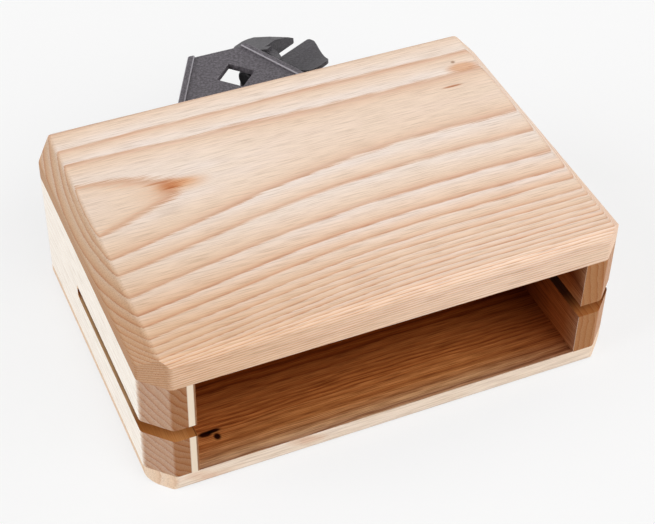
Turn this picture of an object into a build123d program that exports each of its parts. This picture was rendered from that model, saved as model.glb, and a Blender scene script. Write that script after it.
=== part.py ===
from build123d import *
import math
import os

os.makedirs("parts", exist_ok=True)

# A hollow ash woodblock, open at the front, with a rod clamp on its back.
# Millimetres. X runs along the width, Y from the open front to the back, Z up.
# The origin is the middle of the underside.

# The wooden box: two plates, two cheeks and a back block, glued up and then shaped as one
block_width = 200.0
block_depth = 143.0
top_thickness = 14.0
cheek_height = 48.0
bottom_thickness = 8.0
cheek_thickness = 19.0
back_thickness = 25.0

# Sanded edges: upright corners, upper and lower edges of the ends, front and back edges
corner_chamfer = 10.0
corner_soften = 3.0
end_chamfer = 7.0
end_soften = 2.5
foot_round = 5.0
top_round = 4.0
bottom_round = 2.2

# The slot sawn through each cheek from the front
slot_width = 6.0
slot_length = 88.0
slot_height = 31.0

# The rod bracket: a tapered tube with its wide end on the back block and its far end open
bracket_middle = 39.0
bracket_height = 25.0
bracket_base_width = 80.0
bracket_far_width = 29.0
bracket_reach = 49.7
bracket_wall = 3.0
bracket_flange = 3.0
lip_height = 1.2
lip_round = 0.8
base_thickness = 4.0
base_rim = 1.5
base_corner = 5.0
ear_width = 14.0

# The square rod hole, turned on its corner, its distance behind the block and its offset to the right
rod_hole_side = 12.9
rod_hole_distance = 30.5
rod_hole_offset = 1.4
rod_hole_chamfer = 0.3

# Pan-head wood screws, two in each ear
screw_spacing = 14.0
screw_shank = 4.0
screw_length = 20.0
screw_point = 4.0
screw_head = 8.0
screw_head_height = 2.6
screw_crown = 4.0
screw_bulge = 6.9
screw_bulge_height = 1.9
screw_recess_width = 1.1
screw_recess_span = 4.6
screw_recess_depth = 1.5

# The clamp screw: bolt, captive nut and swivelling pad on one axis
# The axis lies above the bracket's middle and behind the middle of the rod hole
clamp_rise = 3.6
clamp_offset = 2.7
bolt_diameter = 8.0
thread_pitch = 1.25
thread_depth = 0.65
thread_crest = 0.16
nut_width = 13.0
nut_thickness = 4.0
nut_recess = 1.5
housing_width = 17.0
bolt_head_width = 9.5
bolt_head_height = 2.4
pad_diameter = 8.0
pad_thickness = 6.2
pad_edge = 0.6
stem_diameter = 4.0
stem_length = 6.0

# The wing knob moulded round the bolt head: a hub and two wedge wings, each flat on one side
knob_stand_off = 4.5
hub_diameter = 12.0
hub_length = 4.0
wing_span = 53.0
wing_height = 24.1
wing_root = 0.5
tip_low = 3.0
tip_width = 9.8
tip_round = 4.5
tip_thickness = 2.0
tip_slope = 0.42
crown_width = 3.6
crown_round = 1.6
notch_depth = 20.9
notch_mouth = 8.6
notch_floor = 8.0
wing_flat = 2.8
wing_edge = 1.0
bevel_width = 6.0
bevel_slope = 0.75
wing_slope = 0.42
wing_round = 0.4
wing_turn = 5.0

# The finger scoop on the flat side of each wing, which runs on into the curled tip
scoop_start = 9.95
scoop_width = 11.0
scoop_depth = 0.8

# Clearances: a running fit, a loose hole, a seat that holds, a gap that keeps faces apart
running_clearance = 0.05
hole_clearance = 0.3
seat_clearance = 0.03
face_clearance = 0.2

# Heights and faces that follow from the sizes above
block_height = bottom_thickness + cheek_height + top_thickness
cheek_top = bottom_thickness + cheek_height
front_face = -block_depth / 2
back_face = block_depth / 2
inner_width = block_width - 2 * cheek_thickness
hole_centre = back_face + rod_hole_distance
clamp_height = bracket_middle + clamp_rise
flange_top = bracket_middle + bracket_height / 2
flange_bottom = bracket_middle - bracket_height / 2
inner_height = bracket_height - 2 * bracket_flange
tube_height = bracket_height + 2 * lip_height

# The slant of the bracket's side walls and the axis that crosses the right one squarely
slant = math.atan((bracket_base_width - bracket_far_width) / 2 / bracket_reach)
outward = Vector(math.cos(slant), math.sin(slant), 0)
along_wall = Vector(math.sin(slant), -math.cos(slant), 0)
axis_origin = Vector(rod_hole_offset, hole_centre, clamp_height) - along_wall * clamp_offset
clamp_axis = Axis(axis_origin, outward)

# Distances along that axis, counted from the point nearest the middle of the rod hole
wall_at_hole = bracket_base_width / 2 - rod_hole_distance * math.tan(slant)
wall_outside = (wall_at_hole - rod_hole_offset) * math.cos(slant)
wall_inside = wall_outside - bracket_wall
nut_outer = wall_inside + nut_recess
nut_inner = nut_outer - nut_thickness
pad_back = nut_inner - face_clearance
pad_front = pad_back - pad_thickness
bolt_tip = pad_back + face_clearance / 2
knob_inner = wall_outside + knob_stand_off
knob_outer = knob_inner + wing_height
bolt_head_inner = knob_inner + (hub_length - bolt_head_height) / 2
bolt_head_outer = bolt_head_inner + bolt_head_height

# Planes: the back of the block seen from behind, the ears' outer faces, and those on the clamp axis
back_plane = Plane((0, back_face, bracket_middle), x_dir=(-1, 0, 0), z_dir=(0, 1, 0))
ear_plane = back_plane.offset(base_thickness)
axis_plane = Plane(axis_origin, x_dir=-along_wall, z_dir=outward)
turned_plane = Plane(axis_origin, x_dir=(0, 0, 1), z_dir=-along_wall)
turn = math.radians(wing_turn)
wing_across = along_wall * math.cos(turn) + Vector(0, 0, 1) * math.sin(turn)
wing_normal = Vector(0, 0, 1) * math.cos(turn) - along_wall * math.sin(turn)
wing_plane = Plane(axis_origin, x_dir=wing_across, z_dir=wing_normal)
scoop_plane = Plane(axis_origin, x_dir=wing_across, z_dir=-outward)

# Screw places on the ears, as distances between columns and rows
screw_columns = bracket_base_width + ear_width


# Outline of the shaped block seen from above, at a given height
def block_plan(height):
    with BuildSketch(Plane.XY.offset(height)) as plan:
        Rectangle(block_width, block_depth)
        chamfer(plan.vertices(), corner_chamfer)
        fillet(plan.vertices(), corner_soften)
    return plan.sketch


# Outline of the shaped block seen from the front
def block_front():
    with BuildSketch(Plane.XZ) as front:
        Rectangle(block_width, block_height, align=(Align.CENTER, Align.MIN))
        fillet(front.vertices().group_by(Axis.Y)[0], foot_round)
        chamfer(front.vertices().group_by(Axis.Y)[-1], end_chamfer)
        upper = front.vertices().group_by(Axis.Y)[-1] + front.vertices().group_by(Axis.Y)[-2]
        fillet(upper, end_soften)
    return front.sketch


# Outline of the shaped block seen from the right end
def block_side():
    with BuildSketch(Plane.YZ) as side:
        Rectangle(block_depth, block_height, align=(Align.CENTER, Align.MIN))
        fillet(side.vertices().group_by(Axis.Y)[-1], top_round)
        fillet(side.vertices().group_by(Axis.Y)[0], bottom_round)
    return side.sketch


# Half the bracket's width at a distance behind the block, a given depth inside the slanted wall
def taper_half(distance, inset):
    return bracket_base_width / 2 - distance * math.tan(slant) - inset / math.cos(slant)


# The bracket's tapered plan between two distances behind the block
def taper_plan(height, inset, near, far):
    with BuildSketch(Plane.XY.offset(height)) as plan:
        with BuildLine():
            Polyline(
                (-taper_half(near, inset), back_face + near),
                (taper_half(near, inset), back_face + near),
                (taper_half(far, inset), back_face + far),
                (-taper_half(far, inset), back_face + far),
                close=True,
            )
        make_face()
    return plan.sketch


# Top plate: the playing surface, one board with its grain along the width
with BuildPart() as top_plate:
    extrude(block_plan(cheek_top), amount=top_thickness)
    extrude(block_front(), amount=block_depth, both=True, mode=Mode.INTERSECT)
    extrude(block_side(), amount=block_width, both=True, mode=Mode.INTERSECT)
top_plate.part.label = "top_plate"
export_step(top_plate.part, "parts/top_plate.step")

# Bottom plate: the thinner board that closes the box below
with BuildPart() as bottom_plate:
    extrude(block_plan(0), amount=bottom_thickness)
    extrude(block_front(), amount=block_depth, both=True, mode=Mode.INTERSECT)
    extrude(block_side(), amount=block_width, both=True, mode=Mode.INTERSECT)
bottom_plate.part.label = "bottom_plate"
export_step(bottom_plate.part, "parts/bottom_plate.step")

# Left cheek: end wall over the full depth, with the tone slot sawn in from the front
with BuildPart() as left_cheek:
    extrude(block_plan(bottom_thickness), amount=cheek_height)
    extrude(block_front(), amount=block_depth, both=True, mode=Mode.INTERSECT)
    extrude(block_side(), amount=block_width, both=True, mode=Mode.INTERSECT)
    with BuildSketch(Plane.XY.offset(bottom_thickness)):
        with Locations((-block_width / 2, 0)):
            Rectangle(cheek_thickness, block_depth, align=(Align.MIN, Align.CENTER))
    extrude(amount=cheek_height, mode=Mode.INTERSECT)
    with BuildSketch(Plane.YZ):
        with Locations((front_face, slot_height)):
            Rectangle(slot_length - slot_width / 2, slot_width, align=(Align.MIN, Align.CENTER))
        with Locations((front_face + slot_length - slot_width / 2, slot_height)):
            Circle(slot_width / 2)
    extrude(amount=block_width, both=True, mode=Mode.SUBTRACT)
left_cheek.part.label = "left_cheek"
export_step(left_cheek.part, "parts/left_cheek.step")

# Right cheek: the left one mirrored
with BuildPart() as right_cheek:
    mirror(left_cheek.part, about=Plane.YZ)
right_cheek.part.label = "right_cheek"
export_step(right_cheek.part, "parts/right_cheek.step")

# Back block: closes the cavity between the cheeks and takes the bracket screws
with BuildPart() as back_block:
    with BuildSketch(Plane.XY.offset(bottom_thickness)):
        with Locations((0, back_face)):
            Rectangle(inner_width, back_thickness, align=(Align.CENTER, Align.MAX))
    extrude(amount=cheek_height)
    extrude(block_side(), amount=block_width, both=True, mode=Mode.INTERSECT)
    with BuildSketch(back_plane):
        with GridLocations(screw_columns, screw_spacing, 2, 2):
            Circle(screw_shank / 2 + seat_clearance)
    extrude(amount=-(screw_length - base_thickness + face_clearance), mode=Mode.SUBTRACT)
back_block.part.label = "back_block"
export_step(back_block.part, "parts/back_block.step")

# Rod bracket: moulded nylon, base with ears, slanted walls with lips, two flanges, nut housing
with BuildPart() as rod_bracket:
    extrude(taper_plan(bracket_middle - tube_height / 2, 0, 0, bracket_reach), amount=tube_height)
    past_end = bracket_reach + bracket_wall
    inner_plan = taper_plan(flange_bottom + bracket_flange, bracket_wall, base_thickness, past_end)
    extrude(inner_plan, amount=inner_height, mode=Mode.SUBTRACT)
    extrude(taper_plan(flange_top, bracket_wall, 0, past_end), amount=2 * lip_height, mode=Mode.SUBTRACT)
    extrude(taper_plan(flange_bottom, bracket_wall, 0, past_end), amount=-2 * lip_height, mode=Mode.SUBTRACT)
    with BuildSketch(axis_plane.offset(nut_inner)):
        with Locations((0, -clamp_rise)):
            Rectangle(housing_width, inner_height)
    extrude(amount=wall_inside - nut_inner)
    lip_edges = rod_bracket.edges().filter_by(
        lambda edge: abs(abs(edge.center().Z - bracket_middle) - tube_height / 2) < 0.01
    )
    fillet(lip_edges.filter_by(lambda edge: edge.length > bracket_reach / 2), lip_round)
    with BuildSketch(back_plane):
        RectangleRounded(bracket_base_width + 2 * ear_width, tube_height + 2 * base_rim, base_corner)
    extrude(amount=base_thickness)
    with BuildSketch(back_plane):
        with GridLocations(screw_columns, screw_spacing, 2, 2):
            Circle(screw_shank / 2 + hole_clearance)
    extrude(amount=base_thickness, mode=Mode.SUBTRACT)
    with BuildSketch(Plane.XY.offset(flange_bottom)):
        with Locations((rod_hole_offset, hole_centre)):
            Rectangle(rod_hole_side, rod_hole_side, rotation=45)
    extrude(amount=bracket_height, mode=Mode.SUBTRACT)
    rims = rod_bracket.edges().filter_by(
        lambda edge: abs(abs(edge.center().Z - bracket_middle) - bracket_height / 2) < 0.01
        and abs(edge.length - rod_hole_side) < 0.01
        and abs(edge.center().Y - hole_centre) < rod_hole_side / 2
    )
    chamfer(rims, rod_hole_chamfer)
    with BuildSketch(axis_plane.offset(nut_inner)):
        RegularPolygon(nut_width / 2 + seat_clearance, 6, major_radius=False)
    extrude(amount=nut_thickness + seat_clearance, mode=Mode.SUBTRACT)
    with BuildSketch(axis_plane.offset(nut_inner)):
        Circle(bolt_diameter / 2 + hole_clearance)
    extrude(amount=wall_outside - nut_inner + bracket_wall, mode=Mode.SUBTRACT)
rod_bracket.part.label = "rod_bracket"
export_step(rod_bracket.part, "parts/rod_bracket.step")

# One pan-head wood screw, head seat at height zero and point downward
with BuildPart() as wood_screw:
    with BuildSketch(Plane.XZ):
        with BuildLine():
            Line((0, screw_head_height), (screw_crown / 2, screw_head_height))
            ThreePointArc(
                (screw_crown / 2, screw_head_height),
                (screw_bulge / 2, screw_bulge_height),
                (screw_head / 2, 0),
            )
            Polyline(
                (screw_head / 2, 0),
                (screw_shank / 2, 0),
                (screw_shank / 2, screw_point - screw_length),
                (0, -screw_length),
                (0, screw_head_height),
            )
        make_face()
    revolve(axis=Axis.Z)
    with BuildSketch(Plane.XY.offset(screw_head_height)):
        Rectangle(screw_recess_span, screw_recess_width)
        Rectangle(screw_recess_width, screw_recess_span)
    extrude(amount=-screw_recess_depth, mode=Mode.SUBTRACT)

# Bracket screws: four of them, heads seated on the ears
with BuildPart(ear_plane) as bracket_screws:
    with GridLocations(screw_columns, screw_spacing, 2, 2):
        add(wood_screw.part)
bracket_screws.part.label = "bracket_screws"
export_step(bracket_screws.part, "parts/bracket_screws.step")

# Clamp nut: steel hexagon nut held in the housing behind the right wall
with BuildPart() as clamp_nut:
    with BuildSketch(axis_plane.offset(nut_inner)):
        RegularPolygon(nut_width / 2, 6, major_radius=False)
        Circle(bolt_diameter / 2 + running_clearance, mode=Mode.SUBTRACT)
    extrude(amount=nut_thickness)
clamp_nut.part.label = "clamp_nut"
export_step(clamp_nut.part, "parts/clamp_nut.step")

# Clamp bolt: threaded steel rod with a hexagon head inside the knob and a socket for the pad's stem
thread_turns = int((knob_inner - bolt_tip) / thread_pitch)
thread_points = [(bolt_diameter / 2 - thread_depth, bolt_tip)]
for count in range(thread_turns):
    ridge = bolt_tip + (count + 0.5) * thread_pitch
    thread_points.append((bolt_diameter / 2, ridge - thread_crest / 2))
    thread_points.append((bolt_diameter / 2, ridge + thread_crest / 2))
    thread_points.append((bolt_diameter / 2 - thread_depth, ridge + thread_pitch / 2))
thread_points.append((bolt_diameter / 2, knob_inner))
thread_points.append((bolt_diameter / 2, bolt_head_outer))
thread_points.append((0, bolt_head_outer))
thread_points.append((0, bolt_tip))
with BuildPart() as clamp_bolt:
    with BuildSketch(turned_plane):
        with BuildLine():
            Polyline(*thread_points, close=True)
        make_face()
    revolve(axis=clamp_axis)
    with BuildSketch(axis_plane.offset(bolt_head_inner)):
        RegularPolygon(bolt_head_width / 2, 6, major_radius=False)
    extrude(amount=bolt_head_height)
    with BuildSketch(axis_plane.offset(bolt_tip)):
        Circle(stem_diameter / 2 + running_clearance)
    extrude(amount=stem_length, mode=Mode.SUBTRACT)
clamp_bolt.part.label = "clamp_bolt"
export_step(clamp_bolt.part, "parts/clamp_bolt.step")

# Clamp pad: nylon disc that presses on the rod, its stem turning in the end of the bolt
with BuildPart() as clamp_pad:
    with BuildSketch(turned_plane):
        with BuildLine():
            Polyline(
                (0, pad_front),
                (pad_diameter / 2 - pad_edge, pad_front),
                (pad_diameter / 2, pad_front + pad_edge),
                (pad_diameter / 2, pad_back),
                (stem_diameter / 2, pad_back),
                (stem_diameter / 2, pad_back + stem_length - face_clearance),
                (0, pad_back + stem_length - face_clearance),
                close=True,
            )
        make_face()
    revolve(axis=clamp_axis)
clamp_pad.part.label = "clamp_pad"
export_step(clamp_pad.part, "parts/clamp_pad.step")


# Corners of one wing on the plane through the clamp axis
wing_tip = wing_span / 2
tip_bottom = knob_inner + tip_low
tip_top = tip_bottom + tip_width
crown_inner = notch_mouth / 2
crown_outer = crown_inner + crown_width
notch_bottom = knob_outer - notch_depth

# The sloping outer edge of a wing, from crown to tip, and the plane that cuts across it
edge_slope = math.atan2(knob_outer - tip_top, wing_tip - crown_outer)
edge_along = wing_across * math.cos(edge_slope) - outward * math.sin(edge_slope)
crown_corner = axis_origin + wing_across * crown_outer + outward * knob_outer
edge_plane = Plane(crown_corner, x_dir=wing_normal, z_dir=-edge_along)


# Outline of one wing
def wing_outline():
    with BuildSketch(wing_plane) as outline:
        with BuildLine():
            Polyline(
                (0, knob_inner),
                (hub_diameter / 2, knob_inner),
                (hub_diameter / 2, knob_inner + wing_root),
                (wing_tip, tip_bottom),
                (wing_tip, tip_top),
                (crown_outer, knob_outer),
                (crown_inner, knob_outer),
                (notch_floor / 2, notch_bottom),
                (0, notch_bottom),
                close=True,
            )
        make_face()
        fillet(outline.vertices().group_by(Axis.X)[-1], tip_round)
        fillet(outline.vertices().group_by(Axis.Y)[-1], crown_round)
    return outline.sketch


# The scoop's arc, seen along the clamp axis, and the height to which it lifts the tip
bevel_foot = wing_edge + bevel_slope * bevel_width
scoop_radius = (scoop_width**2 / 4 + scoop_depth**2) / (2 * scoop_depth)
scoop_middle = scoop_start + scoop_width / 2
scoop_centre = wing_flat - scoop_depth + scoop_radius
tip_lift = scoop_centre - math.sqrt(scoop_radius**2 - (wing_tip - scoop_middle) ** 2)
tip_under = tip_lift - tip_thickness

# One wing: upper side flat, then scooped, the lower side in two slopes from thick foot to thin outer edge
with BuildPart() as one_wing:
    extrude(wing_outline(), amount=hub_diameter, both=True)
    with BuildSketch(edge_plane):
        with BuildLine():
            Polyline(
                (wing_flat + hub_diameter, wing_span),
                (wing_flat + hub_diameter, -wing_span),
                (wing_flat - bevel_foot - wing_slope * (wing_span - bevel_width), -wing_span),
                (wing_flat - bevel_foot, -bevel_width),
                (wing_flat - wing_edge, 0),
                (wing_flat - wing_edge, wing_span),
                close=True,
            )
        make_face()
    extrude(amount=2 * wing_span, both=True, mode=Mode.INTERSECT)
    with BuildSketch(scoop_plane):
        with Locations((scoop_middle, wing_flat)):
            Rectangle(wing_span, wing_span, align=(Align.MAX, Align.MIN))
        with Locations((scoop_middle, scoop_centre)):
            Circle(scoop_radius)
    extrude(amount=2 * knob_outer, both=True, mode=Mode.SUBTRACT)
    with BuildSketch(scoop_plane):
        with BuildLine():
            Polyline(
                (wing_tip + wing_span, tip_under + tip_slope * wing_span),
                (wing_tip - wing_span, tip_under - tip_slope * wing_span),
                (wing_tip + wing_span, tip_under - tip_slope * wing_span),
                close=True,
            )
        make_face()
    extrude(amount=2 * knob_outer, both=True, mode=Mode.SUBTRACT)
    flat_side = one_wing.faces().filter_by(lambda face: face.normal_at().dot(wing_normal) > 0.999)
    crown_edges = flat_side.edges().filter_by(
        lambda edge: (edge.center() - axis_origin).dot(outward) > knob_outer - 2 * crown_round
    )
    fillet(crown_edges, wing_round)
other_wing = one_wing.part.rotate(clamp_axis, 180)

# Wing knob: black nylon, the hub round the bolt head and a wing on each side
with BuildPart() as wing_knob:
    with BuildSketch(axis_plane.offset(knob_inner)):
        Circle(hub_diameter / 2)
    extrude(amount=hub_length)
    add(one_wing.part)
    add(other_wing)
    with BuildSketch(axis_plane.offset(knob_inner)):
        Circle(bolt_diameter / 2 + seat_clearance)
    extrude(amount=bolt_head_outer - knob_inner, mode=Mode.SUBTRACT)
    with BuildSketch(axis_plane.offset(bolt_head_inner)):
        RegularPolygon(bolt_head_width / 2 + seat_clearance, 6, major_radius=False)
    extrude(amount=bolt_head_height, mode=Mode.SUBTRACT)
wing_knob.part.label = "wing_knob"
export_step(wing_knob.part, "parts/wing_knob.step")
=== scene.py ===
import math
import bpy
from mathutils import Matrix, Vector

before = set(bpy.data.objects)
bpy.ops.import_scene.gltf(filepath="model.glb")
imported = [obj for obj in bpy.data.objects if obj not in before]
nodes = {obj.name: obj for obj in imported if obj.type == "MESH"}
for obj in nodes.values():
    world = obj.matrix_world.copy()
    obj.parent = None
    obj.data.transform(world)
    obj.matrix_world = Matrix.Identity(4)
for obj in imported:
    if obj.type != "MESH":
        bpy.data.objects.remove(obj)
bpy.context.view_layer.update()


# Bottom plate: the thinner of two boards of ash, planed, and glued under the cheeks and the back block.
# The glued box is shaped as one, so its corners are cut off and its lower edges are sanded round.
# Its upper face is the floor of the hollow, where a painted shade makes the wood brown, darker towards the
# back, and where it has one dark knot.

# Millimetres in a metre: the frame is in metres, and the sizes of patterns are in millimetres
millimetres = 1000


def linear(colour):
    # An sRGB hex value as linear light
    channels = [int(colour[i:i + 2], 16) / 255 for i in (1, 3, 5)]
    return [c / 12.92 if c <= 0.04045 else ((c + 0.055) / 1.055) ** 2.4 for c in channels] + [1.0]


def add(tree, kind, inputs=None, stops=(), points=(), **settings):
    # One node with its settings, the stops of its ramp or points of its curve, and its values and links.
    # Sockets 0 to 4 of a Map Range are its value, the span it comes from and the span it goes to.
    new = tree.nodes.new("ShaderNode" + kind)
    for name, value in settings.items():
        setattr(new, name, value)
    for socket, value in (inputs or {}).items():
        if isinstance(value, bpy.types.Node):
            value = value.outputs[0]
        if isinstance(value, bpy.types.NodeSocket):
            tree.links.new(value, new.inputs[socket])
        else:
            new.inputs[socket].default_value = value
    if stops:
        ramp = new.color_ramp
        while len(ramp.elements) < len(stops):
            ramp.elements.new(0.5)
        for element, (place, colour) in zip(ramp.elements, stops):
            element.position = place
            element.color = linear(colour)
    if points:
        curve = new.mapping.curves[0]
        while len(curve.points) < len(points):
            curve.points.new(0.5, 0.5)
        for point, place in zip(curve.points, points):
            point.location = place
            point.handle_type = "VECTOR"
        new.mapping.update()
    return new


def new_material(name):
    material = bpy.data.materials.new(name)
    material.use_nodes = True
    material.node_tree.nodes.clear()
    return material


def dress(node, material):
    node.data.materials.clear()
    node.data.materials.append(material)


def span(name, axis):
    # Where a piece begins and ends along X, Y or Z, in millimetres
    places = [millimetres * vertex.co["XYZ".index(axis)] for vertex in nodes[name].data.vertices]
    return min(places), max(places)


# The grain: fibres, slow sways and quick ripples, each with its length along the grain and its width,
# how far a fibre pushes a ring out of line, and over what length a lean dies away
fibre_length, fibre_width, fibre_push = 14.0, 0.4, 0.5
sway_length, sway_width = 90.0, 28.0
ripple_length, ripple_width = 24.0, 7.0
lean_fade = 60.0


def grain_noise(tree, board, length, width, detail, roughness):
    # A noise drawn out along the grain
    streak = add(tree, "VectorMath", {0: board, 1: (length, width, width)}, operation="DIVIDE")
    return add(tree, "TexNoise", {"Vector": streak, "Scale": 1.0, "Detail": detail, "Roughness": roughness})


def pith_distance(tree, along, pith, lean, bends):
    # How far the wood is from the pith, which leans on the left, with what each bend adds to that
    left = add(tree, "Math", {0: along.outputs["X"], 1: 0.0, 2: lean_fade}, operation="SMOOTH_MIN")
    sideways = add(tree, "Math", {0: left, 1: -lean[0], 2: along.outputs["Y"]}, operation="MULTIPLY_ADD")
    section = add(tree, "CombineXYZ", {"X": 0.0, "Y": sideways, "Z": along.outputs["Z"]})
    radius = add(tree, "VectorMath", {0: section, 1: (0, *pith)}, operation="DISTANCE").outputs["Value"]
    distance = add(tree, "Math", {0: left, 1: lean[1], 2: radius}, operation="MULTIPLY_ADD")
    for pattern, push in bends:
        distance = add(tree, "Math", {0: pattern, 1: push, 2: distance}, operation="MULTIPLY_ADD")
    return distance


def ring_count(tree, distance, rings, usual_push):
    # The number of rings so far, from a table of distances and numbers that leaves out the usual push
    (first, start), (last, end) = rings[0], rings[-1]
    share = add(tree, "MapRange", {0: distance, 1: first + usual_push, 2: last + usual_push}, clamp=False)
    width, total = last - first, end - start
    places = [((radius - first) / width, (number - start) / total) for radius, number in rings]
    grown = add(tree, "FloatCurve", {"Value": share}, points=places)
    return add(tree, "Math", {0: grown, 1: total}, operation="MULTIPLY")


# The hollow's sides come from the pieces round it, with a skin to spare, and its front edge is left out.
# In it a painted shade darkens the wood from front to back, and more on the right.
skin, front_edge = 0.05, 0.2
hollow_left, hollow_right = span("left_cheek", "X")[1], span("right_cheek", "X")[0]
hollow_front, hollow_back = span("bottom_plate", "Y")[0], span("back_block", "Y")[0]
hollow_floor, hollow_roof = span("bottom_plate", "Z")[1], span("top_plate", "Z")[0]
hollow_low = Vector((hollow_left - skin, hollow_front + front_edge, hollow_floor - skin))
hollow_high = Vector((hollow_right + skin, hollow_back + skin, hollow_roof + skin))
# Tones of the painted shade from the hollow's front to its back, of its rings and fibres, and of the painted
# shade on the right
hollow_shade_tones = ((0.00, "#FFF2E0"), (0.03, "#F2D0A6"), (0.08, "#E8AC70"), (0.16, "#DE985A"),
             (0.36, "#A05420"), (1.00, "#521F04"))
hollow_rings = ((0.00, "#9A7058"), (0.22, "#DCBCA6"), (0.50, "#FFFFFF"), (0.80, "#D8B8A2"), (1.00, "#9A7058"))
hollow_fibres = ((0.30, "#C4B4A8"), (0.60, "#FFFFFF"))
shade_start, shade_most, shade_tone = 35.0, 0.7, "#A86C3C"


def shaded_hollow(tree, wood, place, depth, shade, part, luck, fibres):
    # Inside the hollow a painted shade darkens the wood towards the back and the right, and its rings
    # and fibres show as stripes
    inward = add(tree, "VectorMath", {0: place, 1: (hollow_low + hollow_high) / 2}, operation="SUBTRACT")
    ratio = add(tree, "VectorMath", {0: inward, 1: (hollow_high - hollow_low) / 2}, operation="DIVIDE")
    size = add(tree, "VectorMath", {0: ratio}, operation="ABSOLUTE")
    sides = add(tree, "SeparateXYZ", {0: size})
    wide = add(tree, "Math", {0: sides.outputs["X"], 1: sides.outputs["Y"]}, operation="MAXIMUM")
    widest = add(tree, "Math", {0: wide, 1: sides.outputs["Z"]}, operation="MAXIMUM")
    inside = add(tree, "Math", {0: widest, 1: 1.0}, operation="LESS_THAN")
    depth_shade = add(tree, "ValToRGB", {"Fac": depth}, stops=hollow_shade_tones)
    shaded = add(tree, "MixRGB", {"Fac": shade, "Color1": depth_shade, "Color2": linear(shade_tone)},
                 blend_type="MULTIPLY")
    stripes = add(tree, "ValToRGB", {"Fac": part}, stops=hollow_rings)
    striped = add(tree, "MixRGB", {"Fac": luck, "Color1": shaded, "Color2": stripes}, blend_type="MULTIPLY")
    streaks = add(tree, "ValToRGB", {"Fac": fibres}, stops=hollow_fibres)
    hollow_wood = add(tree, "MixRGB", {"Fac": 1.0, "Color1": striped, "Color2": streaks}, blend_type="MULTIPLY")
    return add(tree, "MixRGB", {"Fac": inside, "Color1": wood, "Color2": hollow_wood}, blend_type="MULTIPLY")


# The slots: their middle height, half their width and where they end, their rims, which get painted light,
# measured in from the box's side, and the painted shade deep in the right one. Starts and full strengths
# are shares of the hollow's depth.
slot_height, slot_half, slot_end = 31.0, 3.02, 16.6
slot_shade_tones = ((0.00, "#BC8450"), (0.10, "#A06432"), (0.30, "#6E3C1C"))
box_side = span("right_cheek", "X")[1]
rim_inner, rim_outer = box_side - 2.2, box_side - 0.4
rim_start, rim_full, rim_light_tone = 0.12, 0.22, "#DDB488"
slot_shade_start, slot_shade_full, slot_shade_most, slot_shade_tone = 0.02, 0.12, 1.2, "#5A2E14"


def shaded_slots(tree, wood, where, depth, shade):
    # The sawn wood is brown, with a painted shade that deepens inward and most in the right cheek,
    # and a painted light on the floor at the rim
    level = add(tree, "Math", {0: where.outputs["Z"], 1: slot_height, 2: slot_half}, operation="COMPARE")
    ahead = add(tree, "Math", {0: where.outputs["Y"], 1: slot_end}, operation="LESS_THAN")
    slot = add(tree, "Math", {0: level, 1: ahead}, operation="MULTIPLY")
    slot_shading = add(tree, "ValToRGB", {"Fac": depth}, stops=slot_shade_tones)
    outward = add(tree, "Math", {0: where.outputs["X"]}, operation="ABSOLUTE")
    rim = add(tree, "MapRange", {0: outward, 1: rim_inner, 2: rim_outer})
    rear = add(tree, "MapRange", {0: depth, 1: rim_start, 2: rim_full})
    lit_rim = add(tree, "Math", {0: rim, 1: rear}, operation="MULTIPLY")
    rimmed = add(tree, "MixRGB", {"Fac": lit_rim, "Color1": slot_shading, "Color2": linear(rim_light_tone)})
    behind = add(tree, "MapRange", {0: depth, 1: slot_shade_start, 2: slot_shade_full, 4: slot_shade_most})
    deep_shade = add(tree, "Math", {0: behind, 1: shade}, operation="MULTIPLY")
    shaded_slot_wood = add(tree, "MixRGB", {"Fac": deep_shade, "Color1": rimmed, "Color2": linear(slot_shade_tone)},
                blend_type="MULTIPLY")
    return add(tree, "MixRGB", {"Fac": slot, "Color1": wood, "Color2": shaded_slot_wood}, blend_type="MULTIPLY")


# A mark is strongest inside its core, a share of its reach, and the sway makes its edge ragged
mark_edge, mark_core, mark_sway = 1.0, 0.25, 1.6


def marked(tree, wood, board, sway, marks):
    # Knots and other marks: a place, the reach of the mark along each axis, and its tone
    for middle, reach, tone in marks:
        off = add(tree, "VectorMath", {0: board, 1: middle}, operation="SUBTRACT")
        shape = add(tree, "VectorMath", {0: off, 1: reach}, operation="DIVIDE")
        away = add(tree, "VectorMath", {0: shape}, operation="LENGTH").outputs["Value"]
        ragged = add(tree, "Math", {0: sway, 1: mark_sway, 2: away}, operation="MULTIPLY_ADD")
        core = add(tree, "MapRange", {0: ragged, 1: mark_edge, 2: mark_core},
                   interpolation_type="SMOOTHSTEP")
        wood = add(tree, "MixRGB", {"Fac": core, "Color1": wood, "Color2": linear(tone)},
                   blend_type="MULTIPLY")
    return wood


# One growth ring: a brown line, a whitish band close behind it, then cream wood that ripens to the next
# line. A ring fades towards the plain tone by luck and in patches.
ring_tones = (
    (0.00, "#CC9678"), (0.04, "#DAB298"), (0.10, "#F0E3DD"), (0.24, "#F1E2D9"), (0.45, "#F0DACA"),
    (0.70, "#ECD0BA"), (0.88, "#E4BEA2"), (0.96, "#D6A488"), (1.00, "#CC9678"))
# The plain tone that rings fade to, and the near-white tone of the painted glare
plain_tone, glare_tone = "#EDDAC6", "#F8F5EE"
least_faded, most_faded, patchiness = -0.2, 0.15, 0.7
fibre_tones = ((0.28, "#DAD2CB"), (0.55, "#FFFFFF"))

# How much of a face's normal is along the grain where the face starts to look cut across, where it looks
# wholly so, and where the left ends give way to the right ones
cut_start, cut_full, end_blend = 0.06, 0.89, 0.05

# Half the soft edge of a strip, and how much the corner of painted shade slants from front to back
strip_blend, corner_slant = 0.2, 0.8

# Most values of a noise lie between the first and the last of these, about the second
noise_low, noise_middle, noise_high = 0.3, 0.5, 0.7


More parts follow.
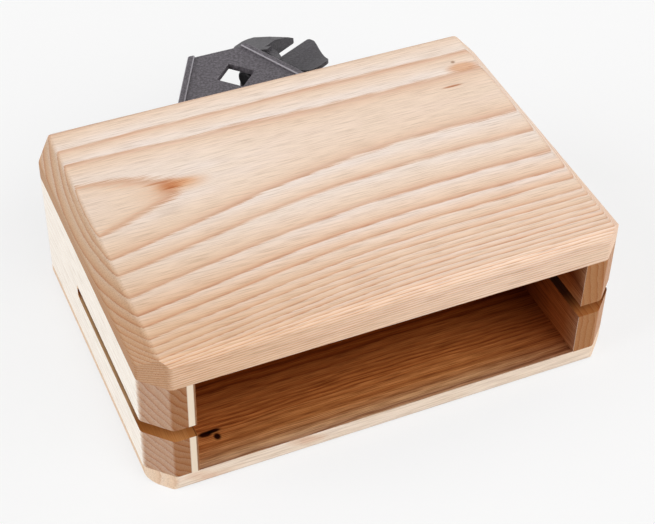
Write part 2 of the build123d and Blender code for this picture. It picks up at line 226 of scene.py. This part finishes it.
def ash(name, pith, rings, turn=0.0, lean=(0.0, 0.0), wave=0.3, fade=0.0, glare_share=0.0, end_tone="#BE9A80",
        right_darkening_under_sheen=1.0, corner_shade=None, ripening=None, strips=(), marks=()):
    # Ash, planed, sanded and lacquered matt: rings round a pith outside the board, fine fibres along the
    # grain, and darker wood where the fibres are cut across. Sizes here are millimetres, and turn brings
    # the grain onto X. The pores are a fifth of a millimetre wide and are drawn twice as coarse to show.
    # Wave is how far the rings wander, fade how faint they are, and lean how fast the pith moves sideways
    # and nearer towards the left. The glare share is how far a painted glare, for the strong light from the
    # left, pales the long grain.
    material = new_material(name)
    tree = material.node_tree
    spot = add(tree, "TexCoord")
    place = add(tree, "VectorMath", {0: spot.outputs["Object"], 1: [millimetres] * 3}, operation="MULTIPLY")
    board = add(tree, "Mapping", {"Vector": place, "Rotation": (0, 0, turn)})
    along = add(tree, "SeparateXYZ", {0: board})
    where = add(tree, "SeparateXYZ", {0: place})

    # The rings are counted outward from the pith, out of line with the sways, ripples and fibres
    fibres = grain_noise(tree, board, fibre_length, fibre_width, detail=3.0, roughness=0.65)
    sways = grain_noise(tree, board, sway_length, sway_width, detail=2.0, roughness=0.45)
    sway = add(tree, "Math", {0: sways, 1: noise_middle}, operation="SUBTRACT")
    ripples = grain_noise(tree, board, ripple_length, ripple_width, detail=2.0, roughness=0.5)
    bends = ((sway, 2 * wave), (ripples, wave), (fibres, fibre_push))
    distance = pith_distance(tree, along, pith, lean, bends)
    count = ring_count(tree, distance, rings, usual_push=noise_middle * (wave + fibre_push))
    ring = add(tree, "Math", {0: count}, operation="FLOOR")
    part = add(tree, "Math", {0: count}, operation="FRACT")
    tone = add(tree, "ValToRGB", {"Fac": part}, stops=ring_tones)

    # Some rings are fainter than others, and each one fades along its length
    luck = add(tree, "TexWhiteNoise", {"W": ring}, noise_dimensions="1D").outputs["Value"]
    faint = add(tree, "MapRange", {0: luck, 3: fade + least_faded, 4: fade + most_faded})
    fading = add(tree, "Math", {0: ripples, 1: patchiness, 2: faint}, operation="MULTIPLY_ADD",
                 use_clamp=True)
    colour = add(tree, "MixRGB", {"Fac": fading, "Color1": tone, "Color2": linear(plain_tone)})

    # Some boards ripen to another tone between two distances from the pith, and a painted shade darkens
    # some towards the front left corner, where less light falls
    if ripening:
        start, end, ripe_tone = ripening
        ripe = add(tree, "MapRange", {0: distance, 1: start, 2: end})
        colour = add(tree, "MixRGB", {"Fac": ripe, "Color1": colour, "Color2": linear(ripe_tone)},
                     blend_type="MULTIPLY")
    if corner_shade:
        start, end, corner_shade_tone = corner_shade
        corner = add(tree, "Math", {0: along.outputs["Y"], 1: corner_slant, 2: along.outputs["X"]},
                     operation="MULTIPLY_ADD")
        warm = add(tree, "MapRange", {0: corner, 1: start, 2: end})
        colour = add(tree, "MixRGB", {"Fac": warm, "Color1": colour, "Color2": linear(corner_shade_tone)},
                     blend_type="MULTIPLY")

    # A painted glare, for the strong light from the left, pales the long grain of some boards, but not the
    # wood that is cut across
    grain = (math.cos(turn), -math.sin(turn), 0)
    normal = add(tree, "VectorMath", {0: spot.outputs["Normal"], 1: grain}, operation="DOT_PRODUCT")
    across = normal.outputs["Value"]
    facing = add(tree, "Math", {0: across}, operation="ABSOLUTE")
    cut = add(tree, "MapRange", {0: facing, 1: cut_start, 2: cut_full})
    if glare_share:
        pale = add(tree, "MapRange", {0: cut, 3: glare_share, 4: 0.0})
        colour = add(tree, "MixRGB", {"Fac": pale, "Color1": colour, "Color2": linear(glare_tone)})

    # The fibres and pores are paler and darker streaks
    streaks = add(tree, "ValToRGB", {"Fac": fibres}, stops=fibre_tones)
    colour = add(tree, "MixRGB", {"Fac": 1.0, "Color1": colour, "Color2": streaks}, blend_type="MULTIPLY")

    # Cut across, the open fibres drink the lacquer and look darker, less so at some boards' right ends,
    # where a painted sheen stands for the bright glancing light on the right bevel
    ends = add(tree, "MapRange", {0: across, 1: -end_blend, 2: end_blend, 3: 1.0, 4: right_darkening_under_sheen})
    darkened = add(tree, "Math", {0: cut, 1: ends}, operation="MULTIPLY")
    colour = add(tree, "MixRGB", {"Fac": darkened, "Color1": colour, "Color2": linear(end_tone)},
                 blend_type="MULTIPLY")

    # Strips of other wood, between two places across the board
    for low, high, strip_tone in strips:
        above = add(tree, "MapRange", {0: along.outputs["Y"], 1: low - strip_blend, 2: low + strip_blend})
        below = add(tree, "MapRange", {0: along.outputs["Y"], 1: high + strip_blend, 2: high - strip_blend})
        strip = add(tree, "Math", {0: above, 1: below}, operation="MULTIPLY")
        colour = add(tree, "MixRGB", {"Fac": strip, "Color1": colour, "Color2": linear(strip_tone)})

    # The hollow's painted shade, the slots' painted shade and light, and the board's knots and other marks
    depth = add(tree, "MapRange", {0: where.outputs["Y"], 1: hollow_front, 2: hollow_back})
    shade = add(tree, "MapRange", {0: where.outputs["X"], 1: shade_start, 2: hollow_right, 4: shade_most})
    colour = shaded_hollow(tree, colour, place, depth, shade, part, luck, fibres)
    colour = shaded_slots(tree, colour, where, depth, shade)
    colour = marked(tree, colour, board, sway, marks)

    dullest, brightest, fibre_depth = 0.62, 0.50, 0.1
    gloss = add(tree, "MapRange", {0: fibres, 1: noise_low, 2: noise_high, 3: dullest, 4: brightest})
    relief = add(tree, "Bump", {"Strength": 0.35, "Distance": fibre_depth / millimetres, "Height": fibres})
    shader = add(tree, "BsdfPrincipled", {"Base Color": colour, "Roughness": gloss, "IOR": 1.5,
                                          "Specular IOR Level": 0.05, "Normal": relief})
    add(tree, "OutputMaterial", {"Surface": shader})
    return material


floor_rings = ((150, 0), (163, 5), (178, 8), (190, 14), (206, 17), (218, 24), (236, 28), (248, 34),
               (266, 38), (400, 76))
floor_knot = (
    ((-73.0, -55.6, hollow_floor), (3.4, 1.6, 3.0), "#3A2010"),
    ((-69.6, -55.0, hollow_floor), (3.2, 1.0, 3.0), "#402414"),
    ((-69.0, -58.2, hollow_floor), (1.5, 1.9, 3.0), "#3A2010"))
# Its cut ends are hardly darkened: a painted glare, so its left end is as pale as the brightly lit left side
dress(nodes["bottom_plate"], ash("ash_bottom_board", pith=(190.0, -20.0), rings=floor_rings, wave=2.6,
                                 fade=0.35, end_tone="#F4ECE2", marks=floor_knot))


# Cheeks: two short boards of ash stood on the bottom plate at its ends, grain running from front to back.
# A saw cut from the front makes each a tone slot. Their front ends show end grain, with slanting rings.
# The left one has a strip of pale sapwood along its inner face, edged by a thin brown line.

cheek_turn = -math.pi / 2
even_rings = ((60, 0), (300, 84))
inner_face = -hollow_left
sapwood = ((inner_face + 0.7, inner_face + 3.2, "#E8D7C2"), (inner_face + 0.2, inner_face + 0.6, "#8A6244"))
# The left cheek's long grain gets a strong painted glare, for the light from the left
dress(nodes["left_cheek"], ash("ash_left_cheek", pith=(-20.0, 140.0), rings=even_rings, turn=cheek_turn,
                               wave=1.8, fade=-0.1, glare_share=0.8, end_tone="#AE8A6C", strips=sapwood))
dress(nodes["right_cheek"], ash("ash_right_cheek", pith=(80.0, 20.0), rings=even_rings, turn=cheek_turn,
                                wave=1.8, fade=0.1, end_tone="#B68E69"))


# Back block: a thick strip of ash glued between the plates behind the hollow. It closes the hollow
# and takes the bracket's four screws.

dress(nodes["back_block"], ash("ash_back_block", pith=(60.0, 190.0), rings=even_rings, wave=0.8, fade=0.2))


# Top plate: the thicker board, and the one that is struck. It was sawn flat from near the bark, so the rings
# make long lines that meet in a point on the left and crowd together towards the front. Its left and right
# ends are cut at an angle, where the same rings run along the cut.

top_face = span("top_plate", "Z")[1]
top_rings = (
    (188.0, -8), (197.4, -1), (198.72, -0.62), (198.98, 0), (200.68, 1), (202.28, 2), (205.0, 3), (207.8, 4),
    (209.9, 5), (212.0, 6), (213.5, 7), (214.8, 8), (216.0, 9), (240.0, 31))

# The first four marks are the knot in the point of the rings, and the others are two specks and a warm
# patch near the right end
top_marks = (
    ((-52.0, 19.5, top_face), (16.0, 6.0, 6.0), "#F5DEC8"),
    ((-55.0, 20.4, top_face), (12.0, 3.8, 6.0), "#F4DAC4"),
    ((-61.0, 23.0, top_face), (10.0, 0.9, 6.0), "#E6C8B0"),
    ((-57.0, 18.4, top_face), (6.0, 0.8, 6.0), "#ECD0BA"),
    ((83.0, 51.5, top_face), (1.4, 1.2, 3.0), "#BEAEA2"),
    ((75.0, 36.0, top_face), (6.0, 0.8, 3.0), "#D6AA90"),
    ((85.0, 47.0, top_face), (9.0, 4.0, 4.0), "#F0D0B6"))
# Its right end keeps little of the end-grain darkening: a painted sheen for the glancing light there
# Towards the front left corner its top gets a painted shade, where less light falls
dress(nodes["top_plate"], ash("ash_top_board", pith=(27.0, 270.0), rings=top_rings, lean=(0.106, 0.0167),
                              wave=0.28, end_tone="#CCBDAC", right_darkening_under_sheen=0.1,
                              corner_shade=(-20.0, -130.0, "#F2E8DC"), ripening=(203.0, 214.0, "#FBF2EA"),
                              marks=top_marks))


# Rod bracket: one moulding of glass-filled nylon, a flat tapered tube with a lip round each edge.
# Four screws hold its wide end on the back block. A square hole for the rod goes through both flanges.

cloud_width = 16.7
# The pale tone of the painted highlight on the upward rounded edges
edge_sheen_tone = "#8E8A90"

# How far up the normal of a rounded edge points, and how far from that it may be
edge_tilt, edge_spread = 0.55, 0.33


def moulded_nylon(name, tone, pale_tone, grit, sheen_above=None):
    # Glass-filled nylon from a spark-eroded mould: a matt, finely pitted skin that scatters the light.
    # The pits are a tenth of a millimetre wide and are drawn at the grit's size to show. Above a given
    # height, upward rounded edges are paler: a painted highlight where they catch the light, and some wear.
    material = new_material(name)
    tree = material.node_tree
    spot = add(tree, "TexCoord")
    pits = add(tree, "TexNoise", {"Vector": spot.outputs["Object"], "Scale": millimetres / grit,
                                  "Detail": 3.0, "Roughness": 0.6})
    cloud = add(tree, "TexNoise", {"Vector": spot.outputs["Object"], "Scale": millimetres / cloud_width,
                                   "Detail": 2.0})
    deep_pit, shallow_pit = 0.40, 0.64
    speckle = add(tree, "MapRange", {0: pits, 1: deep_pit, 2: shallow_pit})
    colour = add(tree, "MixRGB", {"Fac": speckle, "Color1": linear(tone), "Color2": linear(pale_tone)})
    if sheen_above:
        place = add(tree, "SeparateXYZ", {0: spot.outputs["Object"]})
        high = add(tree, "Math", {0: place.outputs["Z"], 1: sheen_above / millimetres},
                   operation="GREATER_THAN")
        slope = add(tree, "SeparateXYZ", {0: spot.outputs["Normal"]})
        edge = add(tree, "Math", {0: slope.outputs["Z"], 1: edge_tilt, 2: edge_spread}, operation="COMPARE")
        edge_sheen = add(tree, "Math", {0: high, 1: edge}, operation="MULTIPLY")
        colour = add(tree, "MixRGB", {"Fac": edge_sheen, "Color1": colour, "Color2": linear(edge_sheen_tone)})
    dullest, brightest, pit_depth = 0.62, 0.52, 0.3
    uneven = add(tree, "MapRange", {0: cloud, 1: noise_low, 2: noise_high, 3: dullest, 4: brightest})
    relief = add(tree, "Bump", {"Strength": 0.5, "Distance": pit_depth / millimetres, "Height": pits})
    shader = add(tree, "BsdfPrincipled", {"Base Color": colour, "Roughness": uneven, "IOR": 1.53,
                                          "Normal": relief})
    add(tree, "OutputMaterial", {"Surface": shader})
    return material


# Above the lip's foot the bracket's edges get the painted highlight
lip_foot = 51.8
dress(nodes["rod_bracket"], moulded_nylon("grey_moulded_nylon", "#403B40", "#625D63", grit=1.2,
                                          sheen_above=lip_foot))


# Bracket screws: four pan-head wood screws of zinc-plated steel. They go through the ears of the bracket's
# base into the back block.

bloom_width = 2.5
bloom_tones = ((noise_low, "#B5B8BD"), (noise_high, "#CFD1D4"))


def zinc_steel(name):
    # Zinc-plated steel: bright, faintly blue, with a dull bloom that varies over a few millimetres.
    material = new_material(name)
    tree = material.node_tree
    spot = add(tree, "TexCoord")
    bloom = add(tree, "TexNoise", {"Vector": spot.outputs["Object"], "Scale": millimetres / bloom_width,
                                   "Detail": 3.0})
    colour = add(tree, "ValToRGB", {"Fac": bloom}, stops=bloom_tones)
    dullest, brightest, bloom_depth = 0.42, 0.28, 0.1
    dull = add(tree, "MapRange", {0: bloom, 1: noise_low, 2: noise_high, 3: dullest, 4: brightest})
    relief = add(tree, "Bump", {"Strength": 0.1, "Distance": bloom_depth / millimetres, "Height": bloom})
    shader = add(tree, "BsdfPrincipled", {"Base Color": colour, "Metallic": 1.0, "Roughness": dull,
                                          "Normal": relief})
    add(tree, "OutputMaterial", {"Surface": shader})
    return material


zinc = zinc_steel("zinc_plated_steel")
dress(nodes["bracket_screws"], zinc)


# Clamp nut and clamp bolt: a thin hexagon nut in its seat inside the bracket's right wall, and the threaded
# rod that runs in it. Both are turned from steel and zinc plated.

dress(nodes["clamp_nut"], zinc)
dress(nodes["clamp_bolt"], zinc)


# Clamp pad: a turned disc of black nylon that presses on the rod. Its stem swivels in the end of the bolt,
# so the pad moves in and out without turning.

dress(nodes["clamp_pad"], moulded_nylon("turned_black_nylon", "#262428", "#343236", grit=0.7))


# Wing knob: black nylon, moulded round the bolt's head. Its two wedge wings are each flat on one side,
# with a finger scoop.

dress(nodes["wing_knob"], moulded_nylon("black_moulded_nylon", "#302D31", "#484549", grit=1.0))


# The stage: a plain paper floor that keeps the object's shadow, soft light from the left, the front and the
# right, and a camera at the photograph's viewing angle.

def seen_itself(tree):
    # One for the rays that show the floor or the sky to the camera, also by way of metal or glass
    ray = add(tree, "LightPath")
    direct = add(tree, "Math", {0: ray.outputs["Is Camera Ray"], 1: ray.outputs["Is Glossy Ray"]},
                 operation="MAXIMUM")
    return add(tree, "Math", {0: direct, 1: ray.outputs["Is Transmission Ray"]}, operation="MAXIMUM")


floor_width = 8.0
bpy.ops.object.select_all(action="DESELECT")
bpy.ops.mesh.primitive_plane_add(size=floor_width, location=(0, 0, 0))
floor = bpy.context.object
floor.name = "floor"
paper = new_material("white_paper")
tree = paper.node_tree
glow_strength, glow_share = 0.95, 0.74
dull_paper = add(tree, "BsdfDiffuse", {"Color": linear("#B4B2AE")})
lit_paper = add(tree, "BsdfDiffuse", {"Color": linear("#F4F4F4")})
glow = add(tree, "Emission", {"Color": linear("#FFFFFF"), "Strength": glow_strength})
bright_paper = add(tree, "MixShader", {0: glow_share, 1: lit_paper, 2: glow})
paper_shader = add(tree, "MixShader", {0: seen_itself(tree), 1: dull_paper, 2: bright_paper})
add(tree, "OutputMaterial", {"Surface": paper_shader})
dress(floor, paper)

sky_light, sky_shown = 0.3, 1.0
world = bpy.data.worlds.new("studio")
world.use_nodes = True
world.node_tree.nodes.clear()
tree = world.node_tree
level = add(tree, "MapRange", {0: seen_itself(tree), 3: sky_light, 4: sky_shown})
sky = add(tree, "Background", {"Color": linear("#FFFFFF"), "Strength": level})
add(tree, "OutputWorld", {"Surface": sky})
bpy.context.scene.world = world

# Each lamp's direction, strength and softness in degrees. Their highlights are faint, as of a wide soft box.
lamps = (
    ("key_light", (-0.85, 0.05, 0.40), 2.35, 50.0),
    ("front_light", (0.40, -0.80, 0.42), 2.3, 70.0),
    ("right_light", (0.95, 0.1, 0.25), 1.4, 60.0))
lamp_highlight = 0.05
for name, direction, strength, softness in lamps:
    lamp = bpy.data.lights.new(name, "SUN")
    lamp.energy = strength
    lamp.angle = math.radians(softness)
    lamp.specular_factor = lamp_highlight
    holder = bpy.data.objects.new(name, lamp)
    holder.rotation_euler = Vector(direction).to_track_quat("Z", "Y").to_euler()
    bpy.context.scene.collection.objects.link(holder)

lens = bpy.data.cameras.new("camera")
lens.lens = 89.04
lens.sensor_width = 36.0
camera = bpy.data.objects.new("camera", lens)
camera.location = (-0.2010, -0.4499, 0.4844)
camera.rotation_euler = [math.radians(angle) for angle in (47.026, -0.955, -23.43)]
bpy.context.scene.collection.objects.link(camera)
bpy.context.scene.camera = camera
bpy.context.scene.view_settings.view_transform = "Standard"
